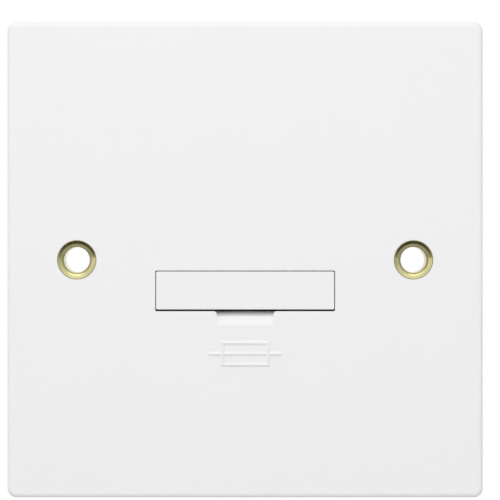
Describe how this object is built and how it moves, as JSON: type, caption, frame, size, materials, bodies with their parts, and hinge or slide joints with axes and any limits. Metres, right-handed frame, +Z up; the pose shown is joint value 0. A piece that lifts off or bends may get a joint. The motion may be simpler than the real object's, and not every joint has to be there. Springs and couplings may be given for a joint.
{
  "type": "fused connection unit",
  "caption": "Square moulded wall plate with brass-lined fixing holes, a flush pull-out fuse carrier with a prising notch, and a rear housing of screw terminals.",
  "frame": {"origin": "centre of the plate on the plane of the wall's surface, midway between the two fixing holes", "axes": "+Z up, -Y out of the wall towards the person facing the plate, +X to that person's right"},
  "size_m": [0.0852, 0.025, 0.0852],
  "materials": {
    "white_moulding": "smooth satin-gloss white thermoset moulding",
    "carrier_moulding": "smooth satin-gloss white thermoset moulding",
    "black_moulding": "fine matt black moulding",
    "eyelet_brass": "bright turned brass",
    "strip_brass": "rolled brass strip",
    "terminal_brass": "drawn and machined brass",
    "spring_bronze": "rolled spring bronze strip",
    "screw_brass": "machined brass",
    "plated_steel": "bright zinc plating",
    "fuse_ceramic": "unglazed pale ceramic tube",
    "cap_plating": "bright nickel plating on brass",
    "fuse_wire": "tinned copper wire"
  },
  "bodies": {
    "unit": {"front_plate": "white_moulding", "rear_housing": "black_moulding", "fixing_eyelet_left": "eyelet_brass", "fixing_eyelet_right": "eyelet_brass", "earth_strap": "strip_brass", "earth_terminal": "terminal_brass", "supply_live_terminal": "terminal_brass", "load_live_terminal": "terminal_brass", "supply_neutral_terminal": "terminal_brass", "load_neutral_terminal": "terminal_brass", "neutral_link": "strip_brass", "supply_fuse_clip": "spring_bronze", "load_fuse_clip": "spring_bronze", "terminal_screws": "screw_brass", "housing_screws": "plated_steel"},
    "carrier": {"fuse_carrier": "carrier_moulding", "fuse_barrel": "fuse_ceramic", "fuse_cap_supply": "cap_plating", "fuse_cap_load": "cap_plating", "fuse_element": "fuse_wire"}
  },
  "joints": [
    {"name": "carrier_slide", "type": "slide", "parent": "unit", "child": "carrier", "axis": [0, -1, 0], "range_m": [0, 0.0095]}
  ]
}
